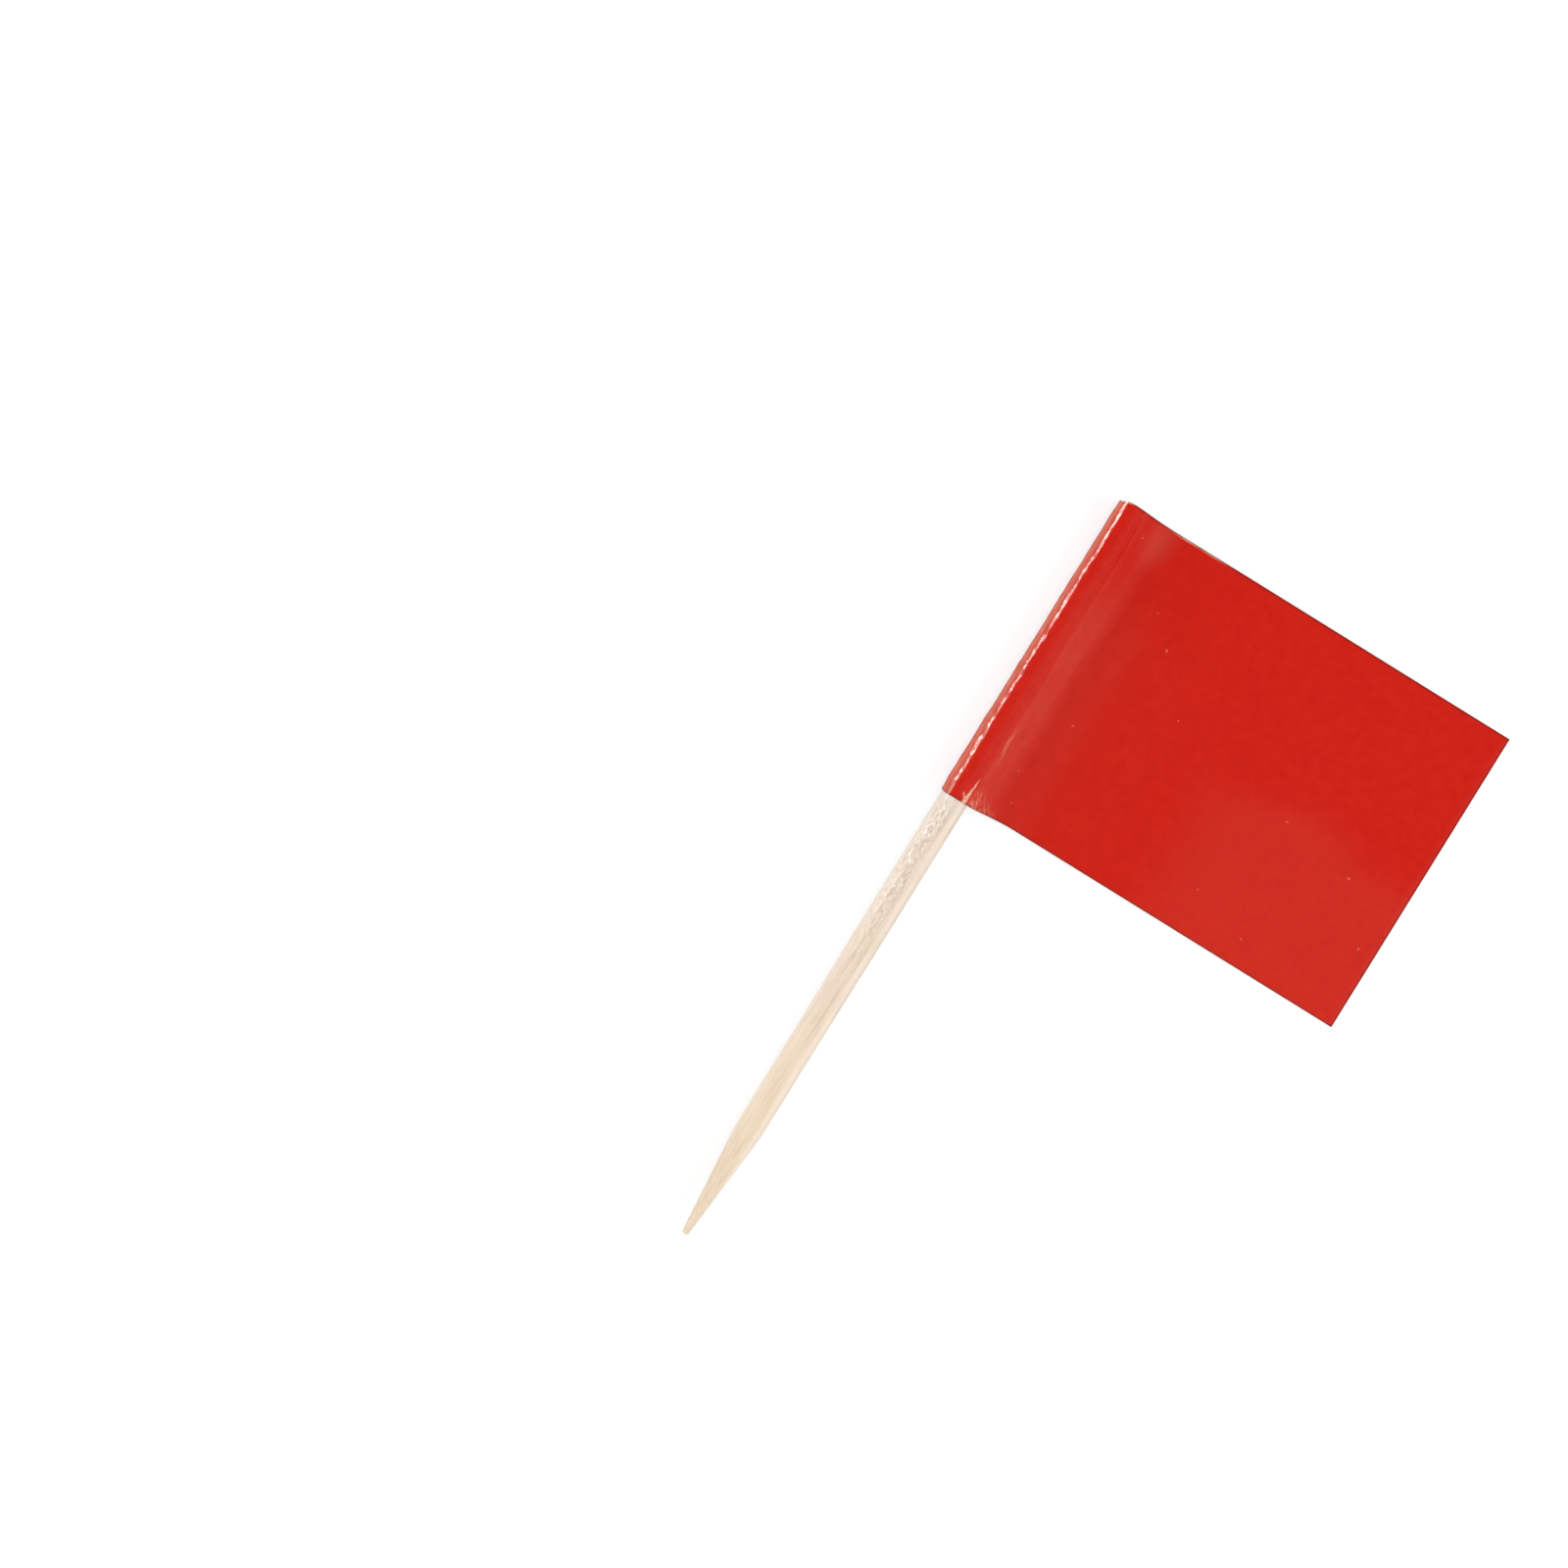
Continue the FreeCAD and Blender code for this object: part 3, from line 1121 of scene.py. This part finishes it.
def make_ground():
    material = bpy.data.materials.new("pale_ground")
    material.use_nodes = True
    tree = material.node_tree
    tree.nodes.clear()
    seen = add(tree, "ShaderNodeLightPath").outputs["Is Camera Ray"]
    place = add(tree, "ShaderNodeTexCoord").outputs["Object"]
    distance = add(tree, "ShaderNodeVectorMath", {0: place}, operation="LENGTH").outputs["Value"]
    far = soft_step(tree, distance, GLOW_ALONE_FROM, GLOW_ALONE_AT)
    strength = product(tree, seen, total(tree, product(tree, far, 1 - NEAR_GLOW), NEAR_GLOW))
    glow = add(tree, "ShaderNodeEmission", {"Color": (1, 1, 1, 1), "Strength": strength})
    shade = between(tree, seen, (0.6, 0.6, 0.6, 1), (0.4, 0.415, 0.45, 1))
    matte = add(tree, "ShaderNodeBsdfDiffuse", {"Color": shade})
    both = add(tree, "ShaderNodeAddShader", {0: glow.outputs[0], 1: matte.outputs[0]})
    add(tree, "ShaderNodeOutputMaterial", {"Surface": both.outputs[0]})
    return material


half = GROUND_SIZE / 2
ground_mesh = bpy.data.meshes.new("ground")
corners = [(-half, -half, 0), (half, -half, 0), (half, half, 0), (-half, half, 0)]
ground_mesh.from_pydata(corners, [], [(0, 1, 2, 3)])
ground_mesh.materials.append(make_ground())
ground = new_piece("ground", ground_mesh)
ground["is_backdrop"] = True
print("the ground is", GROUND_SIZE, "m wide")

# %% [markdown]
# ## The room
# Glossy film shows what stands round it, so the world is more than a plain colour. It has
# pale walls, lighter on the side of the wood, a dim ceiling, and a large weak panel over the
# flag's lower right, which veils that corner of the flat leaf. The camera itself sees white.

# %% World
WARM_WHITE = (1.0, 0.97, 0.9)
CEILING_LIGHT = 0.1
PANEL_LIGHT = 0.32
WALL_LIGHT = 0.6
WALL_SHARE = 0.65
LESS_TO_RIGHT = -0.35


def make_room():
    world = bpy.data.worlds.new("studio")
    world.use_nodes = True
    sky = world.node_tree
    sky.nodes.clear()
    seen = add(sky, "ShaderNodeLightPath").outputs["Is Camera Ray"]
    right, back, up = split(sky, add(sky, "ShaderNodeTexCoord").outputs["Generated"])
    to_left = total(sky, product(sky, right, LESS_TO_RIGHT), WALL_SHARE)
    walls = product(sky, soft_step(sky, up, 0.85, 0.45), WALL_LIGHT, to_left)
    to_front_right = soft_step(sky, reckon(sky, "SUBTRACT", right, back), -0.1, 0.5)
    panel = product(sky, to_front_right, soft_step(sky, up, 0.4, 0.95), PANEL_LIGHT)
    light = scaled(sky, WARM_WHITE, total(sky, walls, panel, CEILING_LIGHT))
    colour = between(sky, seen, light, (1, 1, 1, 1))
    background = add(sky, "ShaderNodeBackground", {"Color": colour, "Strength": 1.0})
    add(sky, "ShaderNodeOutputWorld", {"Surface": background.outputs[0]})
    return world


bpy.context.scene.world = make_room()
print("world", bpy.context.scene.world.name)

# %% [markdown]
# ## The lamps
# Two panels high above give the even light of a copying table. A fill on each side keeps the
# flanks of the wood bright, and no gloss shows them. The broken white line down the sleeve is
# the mirror image of a narrow strip low on the left, and a wider, weaker glow round it tints
# the side below that line. Both of these are seen in gloss only. Each lamp is stated by what
# a mirror would show of it, because that is what the film's reflections are matched to.

# %% Lamps
def add_lamp(name, azimuth, elevation, distance, size, radiance):
    """A soft panel that faces the object; its radiance is what a mirror of it would show."""
    lamp = bpy.data.lights.new(name, "AREA")
    lamp.shape = "RECTANGLE"
    lamp.size, lamp.size_y = size
    lamp.energy = math.pi * size[0] * size[1] * radiance
    lamp.color = WARM_WHITE
    stand = new_piece(name, lamp)
    turn, rise = math.radians(azimuth), math.radians(elevation)
    away = Vector((math.cos(rise) * math.cos(turn), math.cos(rise) * math.sin(turn), math.sin(rise)))
    stand.location = away * distance
    stand.rotation_euler = away.to_track_quat("Z", "Y").to_euler()
    stand.visible_camera = False
    print(f"{name} gives {lamp.energy:.2f} W")
    return stand


PANEL = {"distance": 0.8, "size": (0.5, 0.4)}
FILL = {"distance": 0.8, "size": (0.6, 0.4)}

add_lamp("back_panel", azimuth=90, elevation=60, radiance=2.2, **PANEL)
add_lamp("front_panel", azimuth=270, elevation=60, radiance=2.2, **PANEL)
left_fill = add_lamp("left_fill", azimuth=180, elevation=20, radiance=3.8, **FILL)
right_fill = add_lamp("right_fill", azimuth=0, elevation=38, radiance=5.0, **FILL)
left_fill.visible_glossy = False
right_fill.visible_glossy = False

LOW_LEFT = {"elevation": 21, "distance": 0.6}

left_strip = add_lamp("left_strip", azimuth=161, size=(0.32, 0.2), radiance=27.0, **LOW_LEFT)
left_glow = add_lamp("left_glow", azimuth=172, size=(0.34, 0.26), radiance=5.5, **LOW_LEFT)
left_strip.visible_diffuse = False
left_glow.visible_diffuse = False

# %% [markdown]
# ## The camera
# It looks straight down from close by, as over a copying table, with the pick leaning to the
# right in the frame. Its height shows in how much the raised sleeve is spread towards the
# frame's edge. The lens follows from that height and from the width that the frame covers.

# %% Camera
LEAN = math.radians(31.79)
SEEN_WIDTH = 120.4 * MM
CAMERA_HEIGHT = 0.45
FRAME_MIDDLE = Vector((-28.0 * MM, 0.5 * MM, 0))

lens = bpy.data.cameras.new("camera")
lens.sensor_width = 36
lens.sensor_height = 36
lens.lens = lens.sensor_width * CAMERA_HEIGHT / SEEN_WIDTH
camera = new_piece("camera", lens)
camera.location = FRAME_MIDDLE + Vector((0, 0, CAMERA_HEIGHT))
camera.rotation_euler = (0, 0, LEAN)
bpy.context.scene.camera = camera
bpy.context.scene.view_settings.view_transform = "Standard"
print(f"a lens of {lens.lens:.0f} mm")

# %% [markdown]
# ## Measure and finish
# The looks stand out of the solids by a hair at most. Both boxes are measured and their sizes
# printed, so that anyone can compare them.

# %% Measure and finish
boxes = {"solids": solid_box, "dressed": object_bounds()}
measured = {name: [[float(v) for v in corner] for corner in box] for name, box in boxes.items()}
for name, (low, high) in measured.items():
    print(name, "measure", [round((b - a) / MM, 2) for a, b in zip(low, high)], "mm")
